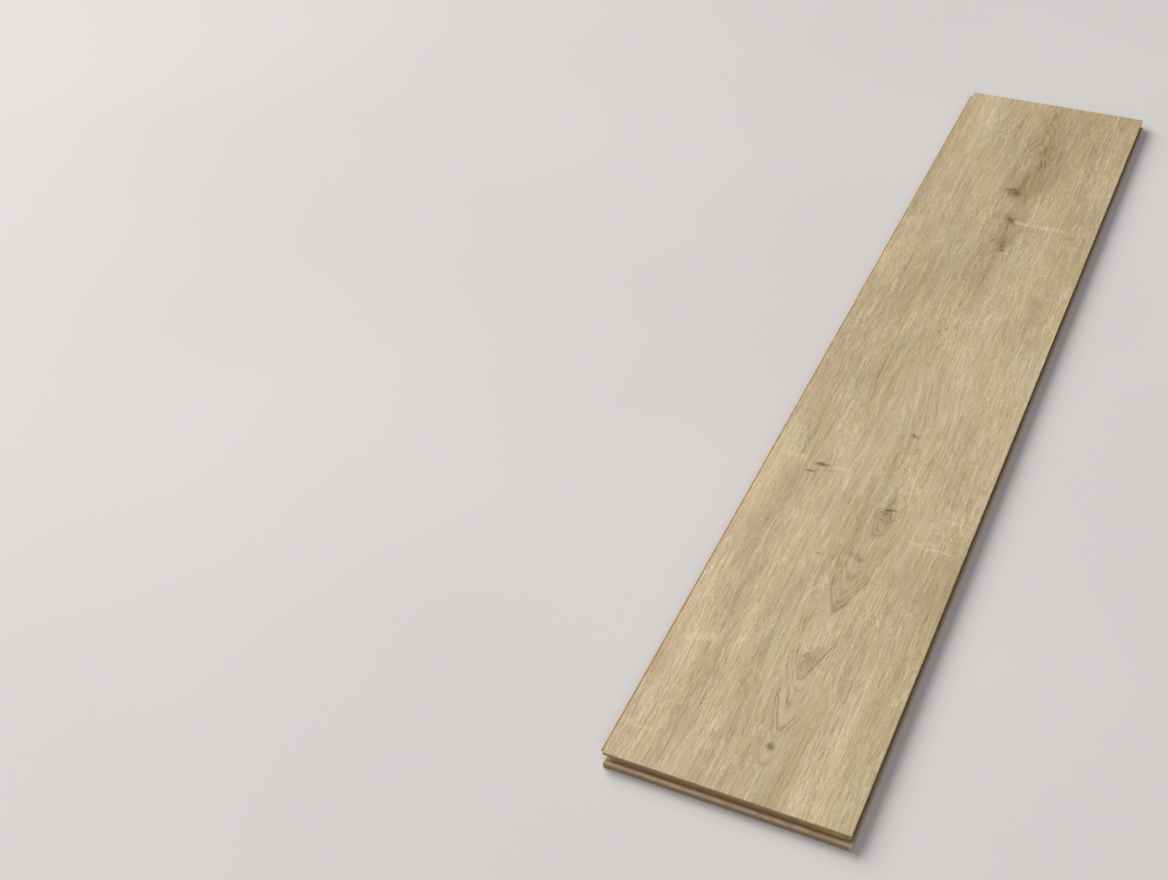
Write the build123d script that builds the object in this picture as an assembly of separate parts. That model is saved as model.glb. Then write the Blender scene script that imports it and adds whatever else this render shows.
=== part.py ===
from build123d import *
import os

# Laminate floor plank: one board of fibreboard stock, pressed and then milled on
# all four edges.  Millimetres, +Z up.  X runs across the board, Y along it.  The
# origin is on the underside, below the centre of the decor face.
#
# Edges as they lie here:
#   front end  (-Y)  groove, with a long lower lip that ends in a raised nose
#   back end   (+Y)  tongue, undercut below to clear such a lip
#   right side (+X)  groove, with a short lower lip
#   left side  (-X)  tongue, undercut below to clear such a lip
# Depths are measured down from the decor face, reaches outward from the decor
# edge of the side in question (negative reaches go in under the decor).

# ---- driving dimensions -----------------------------------------------------
length = 1380.0          # decor face, along Y
width = 254.0            # decor face, along X
thick = 12.0             # decor face to underside
bevel = 0.4              # bevel round the decor face

lip_depth = 3.9          # underside of the upper lip, both groove edges
groove_floor = 8.1       # floor of both grooves
groove_reach = -5.0      # how far both grooves go in
groove_ease = 0.3        # eased inner corners of the grooves
corner_post = 5.8        # both grooves stop this far short of the corner they share

end_lip_reach = 8.2      # lower lip of the front end
end_nose_depth = 5.05    # top of its raised nose
end_nose_width = 2.6     # flat on top of the nose
side_lip_reach = 3.0     # lower lip of the right side
side_nose_depth = 6.8    # top of its nose
side_nose_width = 2.0
nose_ease = 0.35         # eased outer edges of both lips

tongue_reach = 4.4       # both tongues
tongue_top = 4.1
tongue_bottom = 7.9
tongue_ease = 0.8        # eased tip
end_under_depth = 4.9    # underside of the decor overhang at the back end
end_under_slope = -5.35  # where the slope under the end tongue levels out
end_undercut = -10.0     # how far the back end is cut back below
side_under_depth = 6.7   # the same three at the left side
side_under_slope = -0.9
side_undercut = -4.0
corner_trim = 6.2        # tongues are cut back this far at the board's corners

# ---- helpers ----------------------------------------------------------------
half_l = length / 2.0
half_w = width / 2.0


def prism(pts, start, stop, along):
    """Closed profile of (across, z) points, swept straight along X or Y."""
    if along == "X":
        ring = [Vector(start, a, z) for a, z in pts]
        way = Vector(stop - start, 0, 0)
    else:
        ring = [Vector(a, start, z) for a, z in pts]
        way = Vector(0, stop - start, 0)
    face = Face(Wire.make_polygon(ring, close=True))
    return Solid.extrude(face, way)


def place(profile, edge, sign):
    """(reach, depth) points to (across, z) points at an edge at sign * edge."""
    return [(sign * (edge + r), thick - d) for r, d in profile]


def lip_profile(reach, nose_depth, nose_width, inner):
    """Lower lip, from inside the board out to its nose."""
    return [
        (inner, thick),
        (inner, groove_floor),
        (-0.5, groove_floor),
        (reach - nose_width, nose_depth),
        (reach - nose_ease, nose_depth),
        (reach, nose_depth + nose_ease),
        (reach, thick - nose_ease),
        (reach - nose_ease, thick),
    ]


def groove_profile(reach, nose_depth, nose_width):
    """Groove: what is cut away above the lip's own slope as well."""
    run = reach - nose_width + 0.5
    rise = groove_floor - nose_depth
    at_edge = groove_floor - rise * 0.5 / run
    beyond = groove_floor - rise * 1.0 / run
    return [
        (groove_reach, lip_depth + groove_ease),
        (groove_reach + groove_ease, lip_depth),
        (0.5, lip_depth),
        (0.5, beyond),
        (0.0, at_edge),
        (-0.5, groove_floor),
        (groove_reach + groove_ease, groove_floor),
        (groove_reach, groove_floor - groove_ease),
    ]


def tongue_profile(level, slope_end):
    """Tongue; inside the board its underside runs on in the undercut's slope."""
    slope = (tongue_bottom - level) / (0.5 - slope_end)
    return [
        (-1.0, tongue_top),
        (tongue_reach - tongue_ease, tongue_top),
        (tongue_reach, tongue_top + tongue_ease),
        (tongue_reach, tongue_bottom - tongue_ease),
        (tongue_reach - tongue_ease, tongue_bottom),
        (0.5, tongue_bottom),
        (-0.8, tongue_bottom - slope * 1.3),
    ]


def undercut_profile(level, slope_end, back):
    """What is cut away below the overhang of a tongue edge."""
    run = 0.5 - slope_end
    rise = tongue_bottom - level
    at_edge = tongue_bottom - rise * 0.5 / run
    return [
        (1.0, at_edge),
        (0.0, at_edge),
        (slope_end, level),
        (back, level),
        (back, thick + 1.0),
        (1.0, thick + 1.0),
    ]


# ---- the board --------------------------------------------------------------
board = Pos(0, 0, thick / 2.0) * Box(length=width, width=length, height=thick)

# bevel round the decor face
top_edges = board.edges().group_by(Axis.Z)[-1]
board = chamfer(top_edges, length=bevel)

# lower lips of the two groove edges; both run out to the shared corner
front_lip = prism(
    place(lip_profile(end_lip_reach, end_nose_depth, end_nose_width, -2.0), half_l, -1),
    -half_w - side_undercut, half_w + side_lip_reach, "X")
right_lip = prism(
    place(lip_profile(side_lip_reach, side_nose_depth, side_nose_width, -2.0), half_w, 1),
    -half_l - end_lip_reach + nose_ease, half_l + end_undercut, "Y")
board = board + front_lip + right_lip

# the grooves, each run out at its far end and stopped before the shared corner
front_groove = prism(
    place(groove_profile(end_lip_reach, end_nose_depth, end_nose_width), half_l, -1),
    -half_w - 10, half_w - corner_post, "X")
right_groove = prism(
    place(groove_profile(side_lip_reach, side_nose_depth, side_nose_width), half_w, 1),
    -half_l + corner_post, half_l + 10, "Y")
board = board - front_groove - right_groove

# the undercuts of the two tongue edges
back_cut = prism(
    place(undercut_profile(end_under_depth, end_under_slope, end_undercut), half_l, 1),
    -half_w - 20, half_w + 20, "X")
left_cut = prism(
    place(undercut_profile(side_under_depth, side_under_slope, side_undercut), half_w, -1),
    -half_l - 20, half_l + 20, "Y")
board = board - back_cut - left_cut

# the tongues, cut back at the corners
back_tongue = prism(
    place(tongue_profile(end_under_depth, end_under_slope), half_l, 1),
    -half_w + corner_trim, half_w - corner_trim, "X")
left_tongue = prism(
    place(tongue_profile(side_under_depth, side_under_slope), half_w, -1),
    -half_l + corner_trim, half_l - corner_trim, "Y")
plank = board + back_tongue + left_tongue

if isinstance(plank, (list, ShapeList)):
    plank = plank[0]

os.makedirs("parts", exist_ok=True)
export_step(plank, "parts/plank.step")

box = plank.bounding_box()
print("solids", len(plank.solids()), "volume cm3", round(plank.volume / 1000.0, 1))
print("box", box.min, box.max)
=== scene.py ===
import math

import bmesh
import bpy
import numpy as np
from mathutils import Matrix, Vector


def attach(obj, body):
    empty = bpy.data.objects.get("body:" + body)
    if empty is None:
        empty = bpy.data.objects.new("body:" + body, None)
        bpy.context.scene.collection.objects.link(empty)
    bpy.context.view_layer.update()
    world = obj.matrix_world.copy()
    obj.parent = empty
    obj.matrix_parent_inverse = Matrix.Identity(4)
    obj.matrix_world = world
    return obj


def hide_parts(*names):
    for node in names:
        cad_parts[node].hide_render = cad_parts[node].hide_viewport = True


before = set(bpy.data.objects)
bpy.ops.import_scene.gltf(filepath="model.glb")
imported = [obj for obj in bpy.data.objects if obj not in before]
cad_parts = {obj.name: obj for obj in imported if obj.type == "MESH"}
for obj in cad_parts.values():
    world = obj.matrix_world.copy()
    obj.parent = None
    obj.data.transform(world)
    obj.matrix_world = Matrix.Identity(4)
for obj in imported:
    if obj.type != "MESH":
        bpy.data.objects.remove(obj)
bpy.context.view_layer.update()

# Looks of the laminate floor plank.  Metres, same frame as the CAD model: X across
# the board, Y along it, Z up, origin on the underside below the decor centre.
# Helper code works in millimetres where that reads better and says so.

MM = 0.001
HALF_W, HALF_L, THICK = 127.0, 690.0, 12.0        # decor face, mm
BEVEL = 0.4


# =============================================================================
# camera, light and floor
# =============================================================================
scene = bpy.context.scene
scene.view_settings.view_transform = "Standard"
scene.view_settings.look = "None"
scene.view_settings.exposure = 0.0
scene.view_settings.gamma = 1.0

cam_data = bpy.data.cameras.new("camera")
cam_data.sensor_fit = "HORIZONTAL"
cam_data.sensor_width = 36.0
cam_data.lens = 50.1686
cam_data.clip_start = 0.05
cam_data.clip_end = 60.0
cam = bpy.data.objects.new("camera", cam_data)
scene.collection.objects.link(cam)
cam.location = (0.34974, -1.57616, 1.28716)
cam.rotation_euler = (math.radians(49.0690), math.radians(3.2697), math.radians(25.1577))
scene.camera = cam

def area_light(name, direction, distance, size, power, colour, aim=(0.0, 0.0, 0.0)):
    data = bpy.data.lights.new(name, "AREA")
    data.shape = "ELLIPSE"
    data.size, data.size_y = size
    data.energy = power
    data.color = colour
    light = bpy.data.objects.new(name, data)
    scene.collection.objects.link(light)
    way = Vector(direction).normalized()
    light.location = Vector(aim) + way * distance
    light.rotation_euler = way.to_track_quat("Z", "Y").to_euler()


# the key stands far off and low, behind the board and to its left; a weak fill comes
# from the front, and a weaker light lifts the left of the floor
area_light("key", (-0.765, 0.478, 0.434), 40.0, (42.0, 21.0), 22400.0, (1.0, 0.987, 0.975))
area_light("fill", (0.50, -0.78, 0.37), 9.0, (5.0, 5.0), 205.0, (1.0, 0.99, 0.98))
area_light("side", (-1.5, -0.55, 2.0), 2.6, (1.6, 1.6), 18.0, (1.0, 0.99, 0.985), aim=(-1.35, -0.35, 0.0))
WORLD_STRENGTH = 0.22

world = bpy.data.worlds.new("studio")
scene.world = world
world.use_nodes = True
back = world.node_tree.nodes["Background"]
back.inputs["Color"].default_value = (0.97, 0.98, 1.0, 1.0)
back.inputs["Strength"].default_value = WORLD_STRENGTH


# =============================================================================
# a small way of writing node materials as arithmetic
# =============================================================================
class Num:
    """A number that varies over the surface: one output socket of a material."""

    def __init__(self, graph, socket):
        self.g, self.s = graph, socket

    def _op(self, op, *args, clamp=False):
        return self.g.math(op, *args, clamp=clamp)

    def __add__(self, o): return self._op("ADD", self, o)
    __radd__ = __add__
    def __sub__(self, o): return self._op("SUBTRACT", self, o)
    def __rsub__(self, o): return self._op("SUBTRACT", o, self)
    def __mul__(self, o): return self._op("MULTIPLY", self, o)
    __rmul__ = __mul__
    def __truediv__(self, o): return self._op("DIVIDE", self, o)
    def abs(self): return self._op("ABSOLUTE", self)
    def sqrt(self): return self._op("SQRT", self)
    def sin(self): return self._op("SINE", self)
    def frac(self): return self._op("FRACT", self)
    def power(self, e): return self._op("POWER", self, e)
    def max(self, o): return self._op("MAXIMUM", self, o)
    def min(self, o): return self._op("MINIMUM", self, o)
    def plus(self, a, b):
        """self * a + b in one node"""
        return self._op("MULTIPLY_ADD", self, a, b)

    def ramp(self, lo, hi, to_lo=0.0, to_hi=1.0, smooth=True):
        """smooth step from to_lo at lo to to_hi at hi"""
        n = self.g.node("ShaderNodeMapRange")
        n.interpolation_type = "SMOOTHSTEP" if smooth else "LINEAR"
        n.clamp = True
        self.g.join(self.s, n.inputs["Value"])
        n.inputs["From Min"].default_value = lo
        n.inputs["From Max"].default_value = hi
        n.inputs["To Min"].default_value = to_lo
        n.inputs["To Max"].default_value = to_hi
        return Num(self.g, n.outputs["Result"])

    def curve(self, lo, hi, points, to_lo=0.0, to_hi=1.0, linear=False):
        """value read off a curve given by (position, value) points"""
        t = self.ramp(lo, hi, smooth=False)
        n = self.g.node("ShaderNodeFloatCurve")
        self.g.join(t.s, n.inputs["Value"])
        crv = n.mapping.curves[0]
        pts = sorted(((p - lo) / (hi - lo), (v - to_lo) / (to_hi - to_lo)) for p, v in points)
        crv.points[0].location = pts[0]
        crv.points[-1].location = pts[-1]
        for p in pts[1:-1]:
            crv.points.new(*p)
        for p in crv.points:
            p.handle_type = "VECTOR" if linear else "AUTO_CLAMPED"
        n.mapping.update()
        out = Num(self.g, n.outputs["Value"])
        return out if (to_lo, to_hi) == (0.0, 1.0) else out.plus(to_hi - to_lo, to_lo)


class Graph:
    """One material's node tree."""

    def __init__(self, name):
        self.mat = bpy.data.materials.new(name)
        self.mat.use_nodes = True
        self.tree = self.mat.node_tree
        self.shader = self.tree.nodes["Principled BSDF"]
        tc = self.node("ShaderNodeTexCoord")
        scale = self.node("ShaderNodeVectorMath")
        scale.operation = "SCALE"
        self.join(tc.outputs["Object"], scale.inputs[0])
        scale.inputs["Scale"].default_value = 1000.0
        self.p = scale.outputs["Vector"]           # position in mm
        sep = self.node("ShaderNodeSeparateXYZ")
        self.join(self.p, sep.inputs[0])
        self.x, self.y, self.z = (Num(self, o) for o in sep.outputs)

    def node(self, kind):
        return self.tree.nodes.new(kind)

    def join(self, a, b):
        self.tree.links.new(a, b)

    def plug(self, value, socket):
        if isinstance(value, Num):
            self.join(value.s, socket)
        elif isinstance(value, bpy.types.NodeSocket):
            self.join(value, socket)
        else:
            socket.default_value = value

    def math(self, op, *args, clamp=False):
        n = self.node("ShaderNodeMath")
        n.operation = op
        n.use_clamp = clamp
        for i, a in enumerate(args):
            self.plug(a, n.inputs[i])
        return Num(self, n.outputs[0])

    def vec(self, x, y, z=0.0):
        n = self.node("ShaderNodeCombineXYZ")
        for i, a in enumerate((x, y, z)):
            self.plug(a, n.inputs[i])
        return n.outputs[0]

    def noise(self, vector, size, seed=0.0, detail=2.0, rough=0.5, lacunarity=2.0, warp=0.0):
        """0..1 noise whose largest blobs are about size = (across, along[, up]) mm"""
        m = self.node("ShaderNodeMapping")
        m.inputs["Scale"].default_value = [1.0 / s for s in size] + [0.0] * (3 - len(size))
        m.inputs["Location"].default_value = (seed * 3.71, seed * 7.13, seed * 1.37)
        self.join(vector, m.inputs["Vector"])
        n = self.node("ShaderNodeTexNoise")
        n.noise_dimensions = "3D"
        self.join(m.outputs[0], n.inputs["Vector"])
        n.inputs["Scale"].default_value = 1.0
        n.inputs["Detail"].default_value = detail
        n.inputs["Roughness"].default_value = rough
        n.inputs["Lacunarity"].default_value = lacunarity
        n.inputs["Distortion"].default_value = warp
        return Num(self, n.outputs["Fac"])

    def local(self, vector, centre, radii, turn=0.0):
        """vector seen from an ellipse: length 1 on its outline"""
        m = self.node("ShaderNodeMapping")
        m.vector_type = "TEXTURE"
        m.inputs["Location"].default_value = (centre[0], centre[1], 0.0)
        m.inputs["Rotation"].default_value = (0.0, 0.0, math.radians(turn))
        m.inputs["Scale"].default_value = (radii[0], radii[1], 1e6)
        self.join(vector, m.inputs["Vector"])
        return m.outputs[0]

    def length(self, vector):
        n = self.node("ShaderNodeVectorMath")
        n.operation = "LENGTH"
        self.join(vector, n.inputs[0])
        return Num(self, n.outputs["Value"])

    def spot(self, vector, centre, radii, turn=0.0, core=0.0):
        """1 at the centre of an ellipse, 0 from its outline on"""
        return self.length(self.local(vector, centre, radii, turn)).ramp(1.0, core)

    def mix(self, a, b, fac):
        n = self.node("ShaderNodeMix")
        n.data_type = "RGBA"
        self.plug(fac, n.inputs[0])
        self.plug(a, n.inputs[6])
        self.plug(b, n.inputs[7])
        return n.outputs[2]

    def times(self, colour, k):
        n = self.node("ShaderNodeVectorMath")
        n.operation = "SCALE"
        self.join(colour, n.inputs[0])
        self.plug(k, n.inputs["Scale"])
        return n.outputs["Vector"]

    def shade(self, colour, tone, weights):
        """colour * (1 + tone * weights), channel by channel"""
        a = self.node("ShaderNodeVectorMath")
        a.operation = "SCALE"
        a.inputs[0].default_value = weights
        self.plug(tone, a.inputs["Scale"])
        b = self.node("ShaderNodeVectorMath")
        b.operation = "MULTIPLY_ADD"
        self.join(colour, b.inputs[0])
        self.join(a.outputs["Vector"], b.inputs[1])
        self.join(colour, b.inputs[2])
        return b.outputs["Vector"]

    def after(self, vector, value):
        """the same vector, worked out after value.  Cycles has room for few open terms at
        a time, so a long sum is taken in turns."""
        n = self.node("ShaderNodeVectorMath")
        n.operation = "MULTIPLY_ADD"
        self.plug(value, n.inputs[0])
        n.inputs[1].default_value = (1e-12, 1e-12, 1e-12)
        self.join(vector, n.inputs[2])
        return n.outputs[0]

    def bump(self, height_mm, strength=1.0):
        n = self.node("ShaderNodeBump")
        n.inputs["Strength"].default_value = strength
        n.inputs["Distance"].default_value = 0.001
        self.plug(height_mm, n.inputs["Height"])
        return n.outputs[0]


def rgb(r, g, b, k=1.0):
    """8-bit display colour to scene-linear, times k"""
    def lin(c):
        c /= 255.0
        return c / 12.92 if c <= 0.04045 else ((c + 0.055) / 1.055) ** 2.4
    return (lin(r) * k, lin(g) * k, lin(b) * k, 1.0)


# =============================================================================
# decor: the printed oak and its embossed clear overlay
# =============================================================================
ALBEDO = 1.085      # display colour to surface colour, under this light

# heart line of the print, which all its figures follow: (y, x), mm
HEART = [(-700, 20), (-621, 21.5), (-560, 22.5), (-496, 18), (-427, 21), (-342, 23), (-262, 29),
         (-184, 26), (-101, 24), (-45, 11), (11, -3), (82, -6), (203, -7), (272, -3), (362, 8),
         (431, 4), (520, 5), (652, 4.5), (700, 5)]

# knots the grain flows round: centre, half-sizes of the eddy
EDDIES = [((29.5, -264.0), (17.0, 52.0), 0.70), ((18.0, -499.0), (16.0, 42.0), 0.70),
          ((2.5, 431.0), (13.0, 40.0), 0.55), ((11.0, 362.0), (12.0, 34.0), 0.5),
          ((21.5, -621.0), (9.0, 26.0), 0.55), ((-64.0, -212.0), (16.0, 22.0), 0.35)]


# paler and darker areas of the print: centre, half-sizes, strength
PATCHES = [
    ((-90, -530), (34, 75), 0.055), ((-112, -235), (30, 115), 0.16),
    ((-108, 317), (40, 22), 0.045), ((92, 321), (44, 20), 0.04),
    ((98, -300), (42, 14), 0.04), ((100, -251), (36, 10), 0.03),
    ((-36, 610), (13, 110), -0.09), ((14, 560), (9, 140), -0.06), ((-62, 560), (18, 130), -0.05),
    ((30, 560), (26, 130), -0.045), ((22, 455), (24, 70), -0.05),
    ((24, 350), (15, 60), -0.055), ((-20, 330), (40, 80), -0.035),
    ((12, 175), (9, 190), -0.055), ((-31, 118), (7, 60), -0.05),
    ((-50, -60), (24, 150), -0.035), ((8, -120), (13, 120), -0.06),
    ((-40, -270), (34, 60), -0.03), ((70, -400), (36, 110), -0.02),
    ((104, 545), (24, 120), 0.03), ((108, 60), (20, 160), 0.03),
    ((-104, 90), (22, 190), 0.03), ((-100, -640), (30, 60), 0.03),
    ((22, -672), (13, 34), -0.06), ((-28, -430), (26, 80), 0.02),
    ((62, 359), (52, 4.5), 0.07), ((42, 350), (34, 5), -0.035), ((104, 320), (26, 8), 0.08),
    ((5.5, 386), (2.6, 24), 0.07), ((-112, 357), (22, 9), 0.03), ((-20, 250), (22, 60), -0.03),
]

# long fine lines in the grain: centre, half-sizes, strength
LONG_LINES = [
    ((-41, -120), (1.1, 230), 0.07), ((-57, -520), (1.0, 120), 0.06), ((84.5, -580), (1.5, 150), 0.10),
    ((18, 600), (1.2, 95), 0.07), ((-77, 480), (1.0, 170), 0.05), ((72, 120), (1.1, 180), 0.06),
    ((-21, 60), (1.0, 110), 0.05), ((4, 60), (1.0, 120), 0.06), ((-84, 20), (1.0, 90), 0.05),
    ((101, -560), (1.0, 100), 0.05), ((-31, -640), (0.9, 60), -0.06), ((70, -470), (0.9, 140), -0.05),
    ((-5, -560), (0.9, 110), -0.045), ((-22, 80), (1.2, 90), -0.05), ((44, -80), (1.0, 190), -0.04),
]

# how much red, green and blue follow a change of tone
DARKER = (0.90, 1.02, 1.32)

# nested arches: how steep, wobble's cell and size, from and to, darkness along the
# heart line, how far out they fade, strength
ARCHES = [
    (3.5, (7, 22), 17.0, (-690, -330), [
        (-690, .5), (-652, .5), (-645, .30), (-636, .52), (-616, .52), (-611, .24), (-606, .5), (-602, .55),
        (-598, .14), (-592, .55), (-580, .62), (-572, .5), (-565, .18), (-558, .58), (-549, .52), (-544, .16),
        (-538, .62), (-533, .5), (-528, .10), (-521, .42), (-500, .46), (-470, .5), (-448, .5), (-436, .60),
        (-427, .08), (-420, .45), (-414, .22), (-406, .5), (-398, .24), (-390, .52), (-378, .26), (-366, .5), (-330, .5),
    ], (27, 15), 0.80),
    (5.2, (9, 40), 22.0, (0, 260), [
        (0, .5), (6, .5), (11, .22), (17, .55), (34, .5), (42, .3), (50, .56), (70, .5), (84, .32), (92, .5),
        (120, .5), (131, .34), (140, .52), (170, .5), (186, .36), (198, .5), (260, .5)], (26, 5), 0.42),
    (-4.2, (9, 40), 20.0, (500, 700), [
        (500, .5), (540, .5), (551, .25), (558, .5), (568, .5), (577, .25), (584, .45), (600, .5), (612, .2),
        (619, .55), (626, .5), (636, .25), (642, .5), (655, .5), (664, .25), (672, .5), (688, .35), (700, .5)],
     (24, 8), 0.72),
    (4.0, (9, 40), 16.0, (-330, -200), [
        (-330, .5), (-312, .5), (-305, .25), (-298, .52), (-293, .28), (-286, .5), (-276, .5), (-240, .5), (-200, .5)],
     (16, 8), 0.60),
]

# pale (+) and dark (-) strokes across the grain: centre, half-sizes, turn, strength
STROKES = [
    ((98, -301), (30, 1.9), 1, 0.15), ((70, -298), (11, 1.8), -8, 0.14), ((86, -288), (2.2, 20), -8, 0.10), ((112, -262), (2, 12), 14, 0.08), ((104, -251), (24, 1.8), -2, 0.10),
    ((92, -276), (12, 1.5), 6, 0.08), ((-42, -211), (24, 2.2), 3, 0.12), ((-98, -206), (22, 7), 0, 0.07),
    ((-56, -221), (22, 2.0), 4, -0.06), ((62, 356), (36, 4.6), 3, 0.085), ((27, 358), (19, 5.6), -9, 0.17), ((96, 352), (16, 4.0), -10, 0.06),
    ((46, 344), (26, 5), 2, -0.05),
    ((2, 394), (2.6, 24), -6, 0.12), ((8, 372), (2.2, 12), 18, 0.10), ((-66, 282), (9, 2.0), 62, 0.12),
    ((-74, 276), (7, 1.8), 20, 0.10), ((104, 292), (12, 2.4), 38, 0.12), ((81, 247), (8, 1.4), 4, 0.09),
    ((80, 254), (8, 1.4), 0, 0.09), ((79, 261), (7, 1.4), -4, 0.09), ((-22, 500), (2.2, 40), 0, 0.06),
    ((30, -301), (3.0, 13), -6, -0.07), ((26, -316), (2.0, 14), 6, 0.07), ((-92, -512), (30, 9), 18, 0.06),
    ((-104, -646), (14, 2.6), 3, 0.08), ((112, 357), (12, 8), 0, 0.07), ((92, -400), (5, 18), 0, 0.05),
    ((24, 318), (6, 34), 0, -0.09), ((17, 420), (4, 30), 10, -0.07), ((6, 460), (5, 34), 0, -0.07),
]

# areas that lean to pink (+) or olive (-): centre, half-sizes, amount
HUES = [((12, 175), (10, 200), 0.5), ((-110, -235), (30, 115), -0.8), ((8, -90), (14, 120), 0.3), ((-90, -530), (36, 80), -0.45), ((-114, 60), (20, 320), -0.35),
        ((-14, -470), (16, 110), -0.3), ((-55, 610), (40, 110), -0.3),
        ((-78, 400), (44, 190), 0.3), ((60, -600), (60, 90), 0.3)]

# small knots, dots and dark marks: centre, half-sizes, turn, strength
MARKS = [
    ((4.5, 652), (2.6, 8), 0, .34), ((4.5, 584), (2.4, 6), 0, .36),
    ((2.8, 431), (4.4, 9.5), 26, 1.0), ((-7, 438), (8.5, 4.6), 0, .7), ((-3, 428), (7, 9), 20, .3),
    ((10.8, 362), (4.2, 10.0), 33, 0.95), ((14.5, 366), (3.0, 7), -20, .5), ((7, 370), (2.0, 9), 10, .4),
    ((16, 297), (3.6, 4.6), 0, .6), ((17.5, 288), (3.2, 4.0), 0, .7), ((16.5, 305), (2.6, 3.4), 0, .55),
    ((2, 306), (2.0, 4.2), 0, .42), ((13, 299), (1.6, 2.0), 0, .4),
    ((-6, 240), (1.3, 4.0), 20, .5), ((-9, 215), (1.3, 6), 0, .35), ((-9, 203), (1.8, 2.6), 0, .55),
    ((1, 222), (1.2, 3.2), 15, .35), ((-19, 147), (1.3, 7), 0, .3),
    ((-12, 111), (1.5, 2.6), 0, .55), ((-11, 82), (1.7, 2.6), 15, .55), ((-5.5, 77), (2.6, 2.0), -20, .5),
    ((-3, 90), (2.4, 1.8), 0, .4),
    ((32, -101), (1.4, 1.5), 0, .55), ((19.5, -124.5), (4.8, 2.6), -6, .6), ((30, -147.5), (2.6, 1.5), 20, .65),
    ((22.5, -156), (1.6, 4.0), 10, .25), ((26, -184), (1.4, 1.6), 0, .5), ((96, -222), (2.0, 1.6), 0, .4),
    ((-64, -211.5), (8.6, 3.6), 8, 0.8), ((-75.5, -226), (6.6, 2.0), 12, .75),
    ((22.5, -344), (1.7, 2.8), 0, .6), ((12, -338), (8, 4), 0, .25), ((-21, -351), (5, 1.4), 16, .5),
    ((21.5, -620.5), (3.8, 5.2), 0, .74),
    ((29.5, -257.5), (5.8, 3.0), 6, 1.0), ((27, -263.5), (3.4, 4.6), -20, .62), ((33.0, -264), (1.8, 5.0), 10, .6),
    ((4.5, -398), (1.6, 2.2), 30, .3), ((-92, 203), (4, 6), 0, .25), ((88, 185), (3, 9), 0, .2),
]

# ringed knots and eyes: centre, half-sizes, turn, darkness outward, strength
RINGED = [
    ((32.5, -258.5), (5.6, 3.2), 10, [(0, 1.0), (.5, .95), (.85, .65), (1.1, .2), (1.5, .04), (4, 0)], 1.0),
    ((27.5, -267), (8.0, 8.6), -20, [(0, .16), (.35, .12), (.5, .60), (.62, .16), (.80, .14), (.92, .80), (1.05, .22),
                                     (1.25, .06), (1.38, .46), (1.52, 0), (4, 0)], 1.0),
    ((28.5, -281), (6.6, 16.0), 0, [(0, .08), (.55, .08), (.80, .60), (.95, .12), (1.12, .06), (1.25, .44), (1.40, 0),
                                    (4, 0)], .9),
    ((16.2, -495.5), (4.2, 4.2), 0, [(0, .28), (.4, .30), (.75, .52), (1.0, .62), (1.25, .22), (1.6, .05), (4, 0)], 1.0),
    ((21.5, -503), (10.0, 20.5), 0, [(0, .10), (.62, .12), (.80, .34), (.90, .14), (1.02, .40), (1.16, .04), (1.3, 0),
                                     (4, 0)], .75),
    ((-5, 271.5), (2.9, 5.0), 0, [(0, .02), (.6, .04), (.9, .42), (1.15, .12), (1.5, 0), (4, 0)], .9),
    ((-6, 46), (4.4, 8.0), 0, [(0, 0), (.55, .05), (.85, .30), (1.15, .05), (1.5, 0), (4, 0)], .7),
    ((4.5, 614), (5.6, 13.0), 0, [(0, .1), (.35, .3), (.6, .05), (.9, .34), (1.15, .03), (1.5, 0), (4, 0)], .6),
]

# soft dark surrounds: centre, half-sizes, turn, strength
HALOS = [
    ((29.5, -250), (9, 34), 0, .36), ((29, -272), (12, 26), 0, .26), ((21, -503), (10.5, 21), -4, .30),
    ((23, -487), (7, 10), 0, .16), ((21.5, -621), (7, 9), 0, .22), ((-1, 433), (17, 19), 20, .42),
    ((11, 362), (12, 20), 30, .34), ((15, 300), (13, 38), 0, .34), ((2, 306), (6, 14), 0, .14),
    ((-7, 222), (8, 24), 0, .14), ((-64, -212), (14, 6), 6, .24), ((-75, -226), (12, 4), 10, .16),
    ((20, -342), (14, 9), 0, .20), ((-8, 84), (9, 16), 0, .12), ((20, -126), (10, 10), 0, .14),
    ((4.5, 640), (6, 40), 0, .12), ((24, -420), (13, 18), 0, .10),
]


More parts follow.
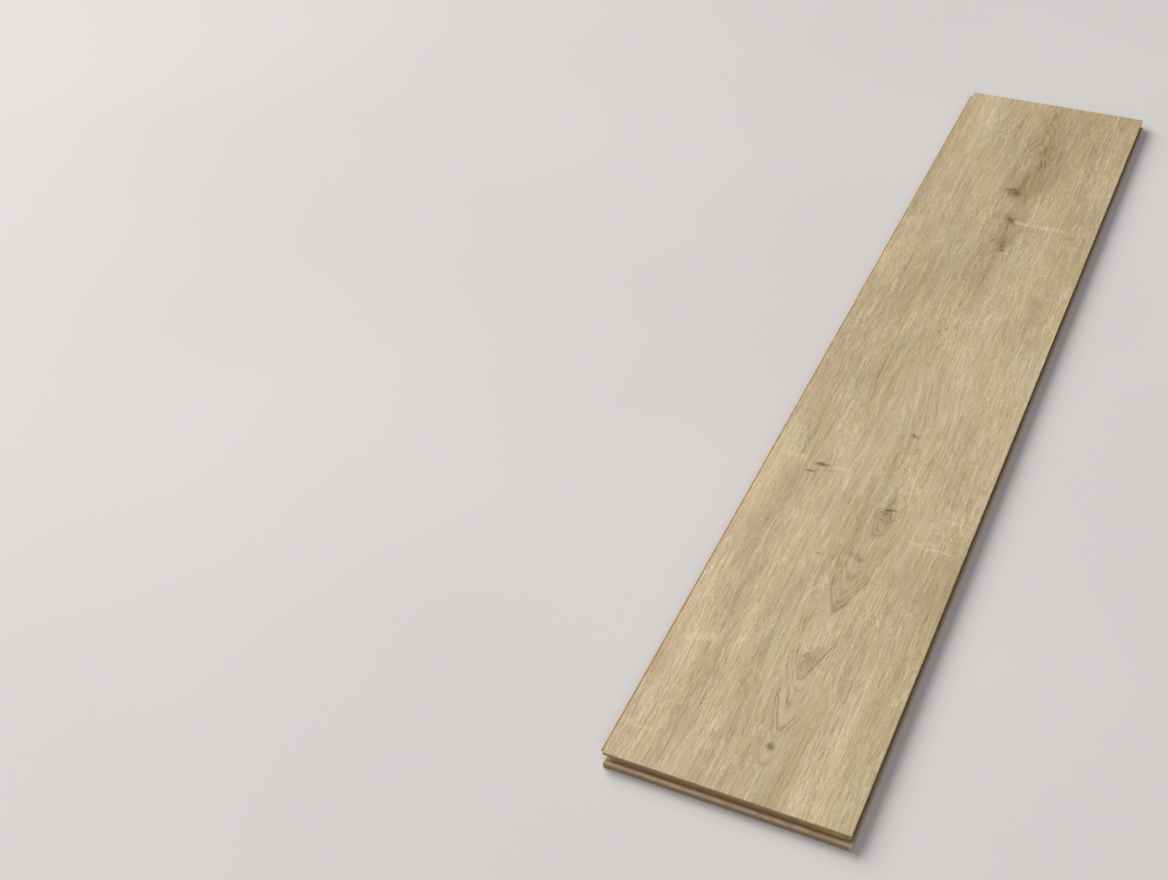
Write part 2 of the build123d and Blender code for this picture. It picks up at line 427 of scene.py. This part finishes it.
def decor_material():
    g = Graph("oak_print")
    x, y = g.x, g.y

    # --- how the grain runs --------------------------------------------------
    heart = y.curve(-700, 700, HEART, -40.0, 60.0)
    from_heart = x - heart
    slow = g.noise(g.p, (90, 330), seed=1, detail=1.0)
    fine = g.noise(g.p, (9, 42), seed=2, detail=3.0, rough=0.6)
    lean = from_heart.abs().ramp(4, 56, 1.0, 0.0)
    u = x - heart * lean * 0.5 + slow.plus(9.0, -4.5) + fine.plus(3.4, -1.7)
    for (cx, cy), (rx, ry), k in EDDIES:
        near = g.spot(g.p, (cx, cy), (rx * 1.9, ry * 1.9))
        u = u - (x - cx) * (near * near * k)
    flow = g.vec(u, y)

    # --- what the overlay's texture shares with the print ----------------------
    thin = g.noise(flow, (2.8, 70), seed=6, detail=2.5, rough=0.7)
    line_a = g.noise(flow, (3.0, 150), seed=8, detail=1.0)
    pore = g.noise(flow, (0.85, 8.5), seed=20, detail=1.0, rough=0.5)
    pore_on = g.noise(flow, (9, 60), seed=21, detail=2.0)
    pores = pore.ramp(0.57, 0.68) * pore_on.ramp(0.36, 0.60)
    crook = g.noise(g.p, (4.6, 27), seed=14, detail=2.0, rough=0.55, warp=0.25)
    where = g.noise(g.p, (34, 80), seed=15, detail=1.5)
    flecks_and_glints = (crook - 0.5).abs().ramp(0.060, 0.012) * where.ramp(0.42, 0.60)

    # --- tone of the streaks -------------------------------------------------
    # the flecks are painted paler: partly the print's rays, partly a painted highlight of their embossed ridges
    tone = thin.ramp(0.28, 0.72, -0.06, 0.06) - pores * 0.18 + flecks_and_glints * 0.17
    tone = tone - line_a.ramp(0.58, 0.72, 0.0, 0.08) + line_a.ramp(0.42, 0.28, 0.0, 0.08)
    for size, seed, wide, k in [((9, 150), 23, 0.034, 0.13), ((12, 190), 24, 0.030, -0.09), ((5.0, 48), 25, 0.045, -0.05)]:
        hair = g.noise(g.after(flow, tone), size, seed=seed, detail=1.5, rough=0.45)
        tone = tone + (hair - 0.5).abs().ramp(wide, wide * 0.2) * k
    for size, seed, detail, rough, k in [
        ((62, 480), 3, 1.5, 0.5, 0.60), ((30, 100), 9, 3.0, 0.6, 0.27), ((17, 260), 4, 2.0, 0.6, 0.12),
        ((6.0, 90), 5, 3.0, 0.68, 0.22), ((1.6, 12), 7, 2.0, 0.7, 0.50),
    ]:
        tone = tone + g.noise(g.after(flow, tone), size, seed=seed, detail=detail, rough=rough).plus(k, -0.5 * k)

    # the far half is a touch darker: partly the print, partly painted shade of the far end
    tone = tone + y.ramp(-250, 560, -0.004, -0.014)

    # the straight streaks give way where the figure of the arches shows
    figure_on = g.spot(g.after(g.p, tone), (21, -562), (31, 84), core=0.45)
    for c, r in [((22, -402), (27, 62)), ((4.5, 610), (27, 62)), ((29, -284), (18, 44))]:
        figure_on = figure_on.max(g.spot(g.p, c, r, core=0.45))
    tone = tone * figure_on.plus(-0.55, 1.0)

    # darker column along the heart
    column = from_heart.abs().ramp(34, 2)
    col_on = y.curve(-700, 700, [(-700, 0.05), (-560, 0.06), (-430, 0.25), (-300, 0.35), (-180, 0.3),
                                 (-60, 0.4), (80, 0.55), (250, 0.75), (420, 0.8), (560, 0.9), (700, 1.0)])
    tone = tone - column * col_on * 0.14

    # --- broad patches: centre, half-sizes, strength --------------------------
    p = g.p
    for i, (c, r, k) in enumerate(PATCHES):
        if i % 6 == 0:
            p = g.after(p, tone)
        tone = tone + g.spot(p, c, r) * (1.4 * k)

    # long single lines: centre, half-sizes, strength
    run = flow
    for i, (c, r, k) in enumerate(LONG_LINES):
        if i % 6 == 0:
            run = g.after(run, tone)
        tone = tone + g.spot(run, c, r, core=0.4) * (1.9 * k)

    p = g.after(p, tone)
    bent = g.node("ShaderNodeVectorMath")
    bent.operation = "ADD"
    g.join(p, bent.inputs[0])
    curl = g.noise(p, (19, 15), seed=17, detail=2.0)
    g.join(g.vec(curl.plus(5.0, -2.5), curl.plus(-9.0, 4.5)), bent.inputs[1])
    p = bent.outputs["Vector"]
    for i, (c, r, turn, k) in enumerate(STROKES):
        if i % 6 == 0:
            p = g.after(p, tone)
        tone = tone + g.spot(p, c, r, turn, core=0.3) * (1.8 * k)

    # --- nested arches (cathedral figure) -------------------------------------
    # t is the height at which the arch through this point crosses the heart line
    reach = (from_heart * from_heart + 26.0).sqrt() - 5.1
    steeper = (reach * 0.042).power(4.0).plus(1.0, 1.0)
    vary = g.noise(g.after(g.p, tone), (13, 26), seed=12, detail=2.0).ramp(0.34, 0.66, 0.3, 1.5)
    for slope, (wob_x, wob_y), wobble, (lo, hi), figure, (out_, in_), k in ARCHES:
        p = g.after(p, tone)
        wob = g.noise(p, (wob_x, wob_y), seed=11, detail=2.0)
        t = y - reach * steeper * slope + wob.plus(wobble, -0.5 * wobble)
        arch = t.curve(lo, hi, figure, linear=True)
        tone = tone + (arch - 0.5) * reach.ramp(out_, in_) * vary * k

    # cross rays: thin level strokes in a few places
    p = g.after(p, tone)
    cross = g.noise(p, (26, 3.2), seed=16, detail=1.0)
    rays = g.spot(p, (95, -275), (42, 44)) * 1.6
    for c, r in [((88, 252), (36, 44)), ((60, 358), (52, 8)), ((-44, -212), (34, 8)), ((53, -512), (9, 22))]:
        rays = rays + g.spot(p, c, r)
    tone = tone + cross.ramp(0.54, 0.66) * rays * 0.12
    speck = g.noise(g.after(p, tone), (1.3, 2.6), seed=22, detail=2.0, rough=0.7)
    tone = tone + speck.plus(0.24, -0.12)

    # --- colour ----------------------------------------------------------------
    run = g.after(run, tone)
    p = g.after(p, tone)
    warmth = g.noise(run, (30, 150), seed=30, detail=3.0)
    base = g.mix(rgb(187.5, 168.7, 135.6, ALBEDO), rgb(191.8, 169.6, 131.6, ALBEDO),
                 warmth.ramp(0.34, 0.66, smooth=False))
    # dark grain is browner and pale grain greyer: blue follows the tone more than red
    colour = g.shade(base, tone, DARKER)
    hue = g.noise(g.after(p, tone), (44, 130), seed=31, detail=2.0) - 0.5
    for c, r, k in HUES:
        hue = hue + g.spot(p, c, r) * (0.4 * k)
    colour = g.shade(colour, hue, (0.065, -0.075, 0.030))

    # --- knots -----------------------------------------------------------------
    p = g.after(p, tone)
    rag = g.noise(p, (3.2, 4.2), seed=40, detail=3.0, rough=0.6)
    rough_edge = rag.plus(0.8, -0.40)
    broken = g.noise(p, (7, 9), seed=41, detail=1.0).ramp(0.40, 0.58, 0.35, 1.1)
    dark = rag * 0.0001
    for i, (c, r, turn, k) in enumerate(MARKS):
        if i % 6 == 0:
            p = g.after(p, dark)
        m = (g.length(g.local(p, c, r, turn)) + rough_edge).ramp(1.5, 0.2)
        dark = dark.max(m * k)
    for i, (c, r, turn, rings, k) in enumerate(RINGED):
        if i % 3 == 0:
            p = g.after(p, dark)
        d = g.length(g.local(p, c, r, turn)) + rough_edge * 0.8
        dark = dark.max(d.curve(0.0, 4.0, rings, linear=True) * broken * k)
    halo = dark * 0.0001
    for i, (c, r, turn, k) in enumerate(HALOS):
        if i % 6 == 0:
            p = g.after(p, halo)
        halo = halo.max(g.spot(p, c, r, turn) * k)
    colour = g.shade(colour, halo * -0.95, DARKER)
    knot_colour = g.mix(rgb(90, 69, 42, ALBEDO), rgb(136, 112, 77, ALBEDO), rag.ramp(0.35, 0.65))
    colour = g.mix(colour, knot_colour, dark)
    g.join(colour, g.shader.inputs["Base Color"])

    # --- surface ----------------------------------------------------------------
    gloss = g.noise(g.p, (5, 30), seed=50, detail=2.0)
    rough = gloss.ramp(0.3, 0.7, 0.50, 0.60) + pores * 0.12
    g.plug(rough, g.shader.inputs["Roughness"])
    height = pores * -0.07 + thin.plus(0.20, -0.10) + flecks_and_glints * 0.07 + line_a.ramp(0.58, 0.72, 0.0, -0.05)
    g.join(g.bump(height), g.shader.inputs["Normal"])
    g.shader.inputs["Specular IOR Level"].default_value = 0.35
    return g.mat


# =============================================================================
# core: milled high-density fibreboard, seen on the edges
# =============================================================================
def core_material():
    g = Graph("fibreboard")
    z = g.z
    clump = g.noise(g.p, (9, 9, 1.6), seed=60, detail=3.0, rough=0.6)
    fibre = g.noise(g.p, (1.5, 1.5, 0.35), seed=61, detail=3.0, rough=0.7)
    speck = g.noise(g.p, (0.45, 0.45, 0.3), seed=62, detail=2.0, rough=0.6)
    chip = g.noise(g.p, (2.4, 2.4, 0.5), seed=63, detail=1.0)
    # denser and darker under both faces of the board
    dense = (z - 6.0).abs().ramp(3.2, 6.0)
    k = clump.plus(0.34, -0.17) + fibre.plus(0.34, -0.17) + speck.plus(0.30, -0.15) - dense * 0.10
    colour = g.times(g.mix(rgb(158, 132, 102, ALBEDO), rgb(175, 149, 118, ALBEDO), clump.ramp(0.3, 0.7)), k + 1.0)
    colour = g.mix(colour, rgb(112, 84, 54, ALBEDO), chip.ramp(0.66, 0.76) * 0.6)
    colour = g.mix(colour, rgb(196, 172, 136, ALBEDO), chip.ramp(0.33, 0.24) * 0.45)
    # the outer faces of the lips are darker and greyer from mid-height down to the floor
    outer = g.y.ramp(-697.2, -697.9).max(g.x.ramp(129.0, 129.7))
    colour = g.mix(colour, rgb(122, 108, 88, ALBEDO), z.ramp(7.2, 4.2) * outer * 0.7)
    # painted light: the inside of the grooves is painted paler, where the lips shade it
    right_in = g.x.ramp(126.9, 126.1) * g.x.ramp(121.6, 121.9) * g.y.ramp(680.4, 679.6) * g.y.ramp(-684.8, -684.3)
    front_in = g.y.ramp(-689.9, -689.1) * g.y.ramp(-684.6, -684.9) * g.x.ramp(-122.4, -121.6) * g.x.ramp(121.8, 121.3)
    groove_painted_light = right_in.max(front_in) * (z - 6.0).abs().ramp(2.6, 2.0)
    colour = g.mix(colour, rgb(210, 184, 138, ALBEDO), groove_painted_light * 0.9)
    # painted light: the front groove is painted yellower and paler towards the right-hand corner, where light comes in
    # at the open end
    corner_painted_light = front_in * (z - 6.0).abs().ramp(2.6, 2.0) * g.x.ramp(72, 116)
    colour = g.mix(colour, rgb(232, 212, 146, ALBEDO), corner_painted_light * 0.85)
    # painted light: the short lip of the right side is painted paler, as that side faces away from the key light
    colour = g.mix(colour, rgb(190, 172, 146, ALBEDO), g.x.ramp(127.1, 127.5) * 0.5)
    # cut edge of the backing paper, and a dark resin line under the decor film
    colour = g.mix(colour, rgb(150, 138, 118, ALBEDO), z.ramp(0.34, 0.24) * 0.8)
    colour = g.mix(colour, rgb(92, 70, 48, ALBEDO), z.ramp(11.30, 11.42) * 0.75)
    g.join(colour, g.shader.inputs["Base Color"])
    g.plug(fibre.ramp(0.3, 0.7, 0.66, 0.82), g.shader.inputs["Roughness"])
    # saw and cutter marks run along the edge; loose fibres stand up a little
    mill = g.noise(g.p, (60, 60, 0.16), seed=64, detail=1.0)
    height = fibre.plus(0.06, -0.03) + speck.plus(0.045, -0.0225) + mill.plus(0.03, -0.015)
    g.join(g.bump(height), g.shader.inputs["Normal"])
    g.shader.inputs["Specular IOR Level"].default_value = 0.25
    return g.mat


# =============================================================================
# backing: the balancing paper on the underside
# =============================================================================
def backing_material():
    g = Graph("backing_paper")
    cloud = g.noise(g.p, (55, 90), seed=70, detail=3.0, rough=0.6)
    fibre = g.noise(g.p, (1.6, 5.0), seed=71, detail=3.0, rough=0.7)
    fleck = g.noise(g.p, (1.1, 1.6), seed=72, detail=1.0)
    roller = g.noise(g.p, (260, 9), seed=73, detail=2.0)
    k = cloud.plus(0.16, -0.08) + fibre.plus(0.14, -0.07) + roller.plus(0.07, -0.035)
    colour = g.times(g.mix(rgb(158, 138, 108, ALBEDO), rgb(172, 156, 130, ALBEDO), cloud.ramp(0.35, 0.65)), k + 1.0)
    colour = g.mix(colour, rgb(118, 96, 68, ALBEDO), fleck.ramp(0.70, 0.78) * 0.55)
    colour = g.mix(colour, rgb(196, 182, 156, ALBEDO), fleck.ramp(0.30, 0.22) * 0.4)
    g.join(colour, g.shader.inputs["Base Color"])
    g.plug(cloud.ramp(0.3, 0.7, 0.62, 0.74), g.shader.inputs["Roughness"])
    height = fibre.plus(0.03, -0.015) + cloud.plus(0.05, -0.025) + roller.plus(0.02, -0.01)
    g.join(g.bump(height), g.shader.inputs["Normal"])
    g.shader.inputs["Specular IOR Level"].default_value = 0.3
    return g.mat


# =============================================================================
# relief of the decor face
# =============================================================================
def value_noise(shape_mm, cell_mm, xs, ys, rng):
    """Smooth noise of mean 0, sampled on the grid of xs and ys; cells of cell_mm."""
    nx = int(shape_mm[0] / cell_mm[0]) + 3
    ny = int(shape_mm[1] / cell_mm[1]) + 3
    v = rng.standard_normal((nx, ny))
    fx = (xs + shape_mm[0] / 2) / cell_mm[0]
    fy = (ys + shape_mm[1] / 2) / cell_mm[1]
    ix, iy = np.floor(fx).astype(int), np.floor(fy).astype(int)
    ix, iy = np.clip(ix, 0, nx - 2), np.clip(iy, 0, ny - 2)
    tx, ty = fx - ix, fy - iy
    tx, ty = tx * tx * (3 - 2 * tx), ty * ty * (3 - 2 * ty)
    return (v[ix, iy] * (1 - tx) * (1 - ty) + v[ix + 1, iy] * tx * (1 - ty)
            + v[ix, iy + 1] * (1 - tx) * ty + v[ix + 1, iy + 1] * tx * ty)


def relief_depth(xs, ys):
    """How far the overlay is pressed in below the highest level, mm, 0 or more."""
    rng = np.random.default_rng(11)
    size = (2 * HALF_W + 60, 2 * HALF_L + 60)
    hy, hx = np.array([p[0] for p in HEART], float), np.array([p[1] for p in HEART], float)
    heart = np.interp(ys, hy, hx)
    off = xs - heart
    lean = 1.0 - 0.65 * np.clip(np.abs(off) / 130.0, 0, 1)
    u = xs - heart * lean + 4.0 * value_noise(size, (70, 190), xs, ys, rng)
    for (cx, cy), (rx, ry), k in EDDIES:
        d2 = ((xs - cx) / rx) ** 2 + ((ys - cy) / ry) ** 2
        u = u - (xs - cx) * k * np.exp(-d2)
    u = np.clip(u, -size[0] / 2, size[0] / 2)
    a = value_noise(size, (7.5, 120), u, ys, rng)
    b = value_noise(size, (3.0, 60), u, ys, rng)
    c = value_noise(size, (1.7, 26), u, ys, rng)
    d = 0.022 * a + 0.028 * b + 0.028 * c
    for (cx, cy), (rx, ry), k in EDDIES:
        d2 = ((xs - cx) / (rx * 0.3)) ** 2 + ((ys - cy) / (ry * 0.25)) ** 2
        d = d - 0.05 * k * np.exp(-d2)
    depth = np.clip(0.055 - d, 0.0, 0.18)
    edge = np.minimum((HALF_W - BEVEL) - np.abs(xs), ((HALF_L - BEVEL) - np.abs(ys)) * 0.5)
    return depth * np.clip((edge - 0.9) / 3.0, 0, 1)


# =============================================================================
# the board's mesh: the CAD board with eased arrises and a pressed decor face
# =============================================================================
NX, NY = 300, 232           # cells of the decor face
CUTS = [-345.0, 0.0, 345.0]  # the faces are parted here, for their texture map


def make_board():
    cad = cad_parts["plank"]
    bm = bmesh.new()
    bm.from_mesh(cad.data)
    bmesh.ops.remove_doubles(bm, verts=bm.verts[:], dist=2e-6)
    bmesh.ops.dissolve_limit(bm, angle_limit=math.radians(0.5), verts=bm.verts[:], edges=bm.edges[:])

    # ease the outer arrises of the milled edges
    arris = [e for e in bm.edges if len(e.link_faces) == 2 and e.is_convex
             and e.calc_face_angle(0.0) > math.radians(25)]
    bmesh.ops.bevel(bm, geom=arris, offset=0.00010, offset_type="OFFSET", segments=2, profile=0.5,
                    affect="EDGES", clamp_overlap=True)
    bmesh.ops.remove_doubles(bm, verts=bm.verts[:], dist=1e-6)

    for c in CUTS:
        bmesh.ops.bisect_plane(bm, geom=bm.verts[:] + bm.edges[:] + bm.faces[:], dist=1e-7,
                               plane_co=(0, c * MM, 0), plane_no=(0, 1, 0))

    # part the faces that run round a corner of the board
    for at, along in ((121.19, (1, 0, 0)), (-122.99, (1, 0, 0)), (-684.19, (0, 1, 0)), (679.99, (0, 1, 0))):
        low = [f for f in bm.faces if 0.05 < f.calc_center_median().z / MM < THICK - 0.05]
        geom = low + list({e for f in low for e in f.edges}) + list({v for f in low for v in f.verts})
        bmesh.ops.bisect_plane(bm, geom=geom, dist=1e-7, plane_co=Vector(along) * at * MM, plane_no=along)

    # take the decor face out
    top = [f for f in bm.faces if f.normal.z > 0.999 and f.calc_center_median().z > (THICK - 0.02) * MM
           and f.calc_area() > 0.01]
    bmesh.ops.delete(bm, geom=top, context="FACES_KEEP_BOUNDARY")
    rim = [e for e in bm.edges if len(e.link_faces) == 1]
    follow = {}
    for e in rim:
        for v in e.verts:
            follow.setdefault(v, []).append(e)
    start = min(follow, key=lambda v: (v.co.x + v.co.y, v.co.x))
    ring, edge, v = [start], None, start
    nxt = max(follow[start], key=lambda e: e.other_vert(start).co.x)
    while True:
        w = nxt.other_vert(v)
        if w is start:
            break
        ring.append(w)
        nxt = follow[w][0] if follow[w][0] is not nxt else follow[w][1]
        v = w

    # a fine grid in its place, pressed in by the grain
    half_x, half_y = HALF_W - BEVEL - 0.5, HALF_L - BEVEL - 0.5
    gx = np.linspace(-half_x, half_x, NX + 1)
    stops = [-half_y] + CUTS + [half_y]
    gy = np.concatenate([np.linspace(a, b, NY // 4 + 1)[:-1] for a, b in zip(stops, stops[1:])] + [[half_y]])
    X, Y = np.meshgrid(gx, gy, indexing="ij")
    Z = THICK - relief_depth(X, Y)
    grid = [[bm.verts.new((X[i, j] * MM, Y[i, j] * MM, Z[i, j] * MM)) for j in range(NY + 1)] for i in range(NX + 1)]
    faces = [bm.faces.new((grid[i][j], grid[i + 1][j], grid[i + 1][j + 1], grid[i][j + 1]))
             for i in range(NX) for j in range(NY)]

    # join the grid to the rim, side by side
    q = NY // 4
    inner = ([grid[i][0] for i in range(NX)] + [grid[NX][j] for j in range(NY)]
             + [grid[i][NY] for i in range(NX, 0, -1)] + [grid[0][j] for j in range(NY, 0, -1)])
    corners = [0, NX, NX + NY, 2 * NX + NY]
    parts = [NX + q * k for k in (1, 2, 3)] + [2 * NX + NY + q * k for k in (1, 2, 3)]
    anchors = []
    for i in sorted(corners + parts):
        at = inner[i].co
        if i in corners:
            o = min(range(len(ring)), key=lambda k: (ring[k].co.xy - at.xy).length)
        else:
            o = min(range(len(ring)), key=lambda k: abs(ring[k].co.y - at.y) + abs(ring[k].co.x - at.x))
        anchors.append((o, i))
    for (o0, i0), (o1, i1) in zip(anchors, anchors[1:] + anchors[:1]):
        outer = [ring[(o0 + k) % len(ring)] for k in range((o1 - o0) % len(ring) + 1)]
        inward = [inner[(i0 + k) % len(inner)] for k in range((i1 - i0) % len(inner) + 1)]
        faces.append(bm.faces.new(outer + inward[::-1]))
    decor = set(faces)
    bmesh.ops.recalc_face_normals(bm, faces=bm.faces[:])
    bm.normal_update()

    # materials: 0 decor, 1 fibreboard core, 2 backing paper
    for f in bm.faces:
        c, n = f.calc_center_median() / MM, f.normal
        if f in decor or (c.z > THICK - BEVEL - 0.12 and n.z > 0.2 and abs(c.x) < HALF_W + 0.5 and abs(c.y) < HALF_L + 0.5):
            f.material_index = 0
        elif n.z < -0.6 and c.z < 0.15:
            f.material_index = 2
        else:
            f.material_index = 1
        f.smooth = f in decor or f.calc_area() < 4e-7
    for e in bm.edges:
        if len(e.link_faces) == 2:
            a, b = (f in decor for f in e.link_faces)
            e.smooth = e.calc_face_angle(0.0) < math.radians(32) and a == b

    lay_out(bm)
    me = bpy.data.meshes.new("floor_plank")
    bm.to_mesh(me)
    bm.free()
    board = bpy.data.objects.new("floor_plank", me)
    scene.collection.objects.link(board)
    return board


# texture map: the decor in four parts side by side, then the underside, then the
# four edges, each unrolled along its profile.  Sizes in mm of decor.
SHEET = 768.0
UNDER_SCALE, EDGE_SCALE = 0.50, 0.54     # the edges keep their full size across


def groove_line(reach, nose_depth, nose_width):
    """profile of a groove edge as (outward, down) points, decor to underside"""
    return [(0, 0), (0, 3.9), (-4.7, 3.9), (-5, 4.2), (-5, 7.8), (-4.7, 8.1), (-0.5, 8.1),
            (reach - nose_width, nose_depth), (reach - 0.35, nose_depth), (reach, nose_depth + 0.35),
            (reach, 11.65), (reach - 0.35, 12)]


def tongue_line(level, slope_end, back):
    at_edge = 7.9 - (7.9 - level) * 0.5 / (0.5 - slope_end)
    return [(0, 0), (0, 4.1), (3.6, 4.1), (4.4, 4.9), (4.4, 7.1), (3.6, 7.9), (0.2, 7.9), (0, at_edge),
            (slope_end, level), (back, level), (back, 12)]


PROFILES = {"right": groove_line(3.0, 6.8, 2.0), "left": tongue_line(6.7, -0.9, -4.0),
            "front": groove_line(8.2, 5.05, 2.6), "back": tongue_line(4.9, -5.35, -10.0)}


def unroll(line, out, down):
    """distance along the profile, and off it, of a point"""
    best, run = (1e9, 0.0), 0.0
    for (a, b), (c, d) in zip(line, line[1:]):
        length = math.hypot(c - a, d - b)
        t = max(0.0, min(1.0, ((out - a) * (c - a) + (down - b) * (d - b)) / length ** 2))
        off = math.hypot(out - a - t * (c - a), down - b - t * (d - b))
        if off < best[0] - 1e-6:
            best = (off, run + t * length)
        run += length
    return best[1], best[0]


def lay_out(bm):
    uv = bm.loops.layers.uv.new("OFBake")
    odd = []
    for f in bm.faces:
        c, n = f.calc_center_median() / MM, f.normal
        part = int(np.searchsorted(CUTS, c.y))
        y_lo = ([-HALF_L - 9] + CUTS)[part]
        if f.material_index == 0:
            ox, oy = 1.5 + part % 2 * 256.5, 1.5 + part // 2 * 348.0
            y_lo = ([-HALF_L] + CUTS)[part]
            for l in f.loops:
                q = l.vert.co / MM
                l[uv].uv = ((q.x + HALF_W + ox) / SHEET, (q.y - y_lo + oy) / SHEET)
            continue
        if f.material_index == 2:
            for l in f.loops:
                q = l.vert.co / MM
                l[uv].uv = (((q.x + 133.0) * UNDER_SCALE + 517.0) / SHEET,
                            ((q.y - y_lo) * UNDER_SCALE + 2.0 + part * 180.0) / SHEET)
            continue
        pts = [l.vert.co / MM for l in f.loops]
        tries = []
        for name, along, out, start, spot in (
            ("right", n.y, [q.x - HALF_W for q in pts], y_lo, (655.0, part)),
            ("left", n.y, [-q.x - HALF_W for q in pts], y_lo, (684.0, part)),
            ("front", n.x, [-q.y - HALF_L for q in pts], -133.0, (712.0, 0)),
            ("back", n.x, [q.y - HALF_L for q in pts], -133.0, (712.0, 1)),
        ):
            got = [unroll(PROFILES[name], o, THICK - q.z) for o, q in zip(out, pts)]
            off = max(g[1] for g in got)
            if off < 0.4 and abs(along) < 0.5:
                tries.append((off, name, [g[0] for g in got], start, spot))
        if not tries:
            odd.append(f)
            continue
        off, name, arc, start, (ox, slot_) = min(tries, key=lambda t: t[0])
        for l, q, a in zip(f.loops, pts, arc):
            long_ = (q.y if name in ("right", "left") else q.x) - start
            l[uv].uv = ((ox + a) / SHEET, (2.0 + long_ * EDGE_SCALE + slot_ * 191.5) / SHEET)
    # the few faces that close the ends of lips and tongues
    x, y, wide = 749.0, 2.0, 0.0
    for f in sorted(odd, key=lambda f: tuple(round(v, 5) for v in f.calc_center_median())):
        n = f.normal
        i, j = (1, 2) if abs(n.x) >= max(abs(n.y), abs(n.z)) else (0, 2) if abs(n.y) >= abs(n.z) else (0, 1)
        pts = [l.vert.co / MM for l in f.loops]
        a0, b0 = min(q[i] for q in pts), min(q[j] for q in pts)
        w, h = max(q[i] for q in pts) - a0, max(q[j] for q in pts) - b0
        k = min(1.0, 7.0 / max(w, h, 0.01))
        if y + h * k > SHEET - 3:
            x, y, wide = x + 8.0, 2.0, 0.0
        for l, q in zip(f.loops, pts):
            l[uv].uv = ((x + (q[i] - a0) * k) / SHEET, (y + (q[j] - b0) * k) / SHEET)
        y += h * k + 0.7
    us = np.array([l[uv].uv[:] for f in bm.faces for l in f.loops])
    print("texture map from", us.min(0).round(3), "to", us.max(0).round(3), "odd faces", len(odd))


board = make_board()
for m in (decor_material(), core_material(), backing_material()):
    board.data.materials.append(m)
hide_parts("plank")
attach(board, "root")


# =============================================================================
# floor
# =============================================================================
def make_floor():
    me = bpy.data.meshes.new("floor")
    s = 14.0
    me.from_pydata([(-s, -s, 0), (s, -s, 0), (s, s, 0), (-s, s, 0)], [], [(0, 1, 2, 3)])
    floor = bpy.data.objects.new("floor", me)
    scene.collection.objects.link(floor)
    floor.location = (0, 0, -0.00005)
    g = Graph("studio_floor")
    soft = g.noise(g.p, (700, 700), seed=80, detail=2.0)
    tone = g.mix(rgb(219, 216, 215), rgb(223, 220, 219), soft.ramp(0.3, 0.7))
    g.join(tone, g.shader.inputs["Base Color"])
    g.shader.inputs["Roughness"].default_value = 0.85
    g.shader.inputs["Specular IOR Level"].default_value = 0.15
    me.materials.append(g.mat)
    return floor


make_floor()
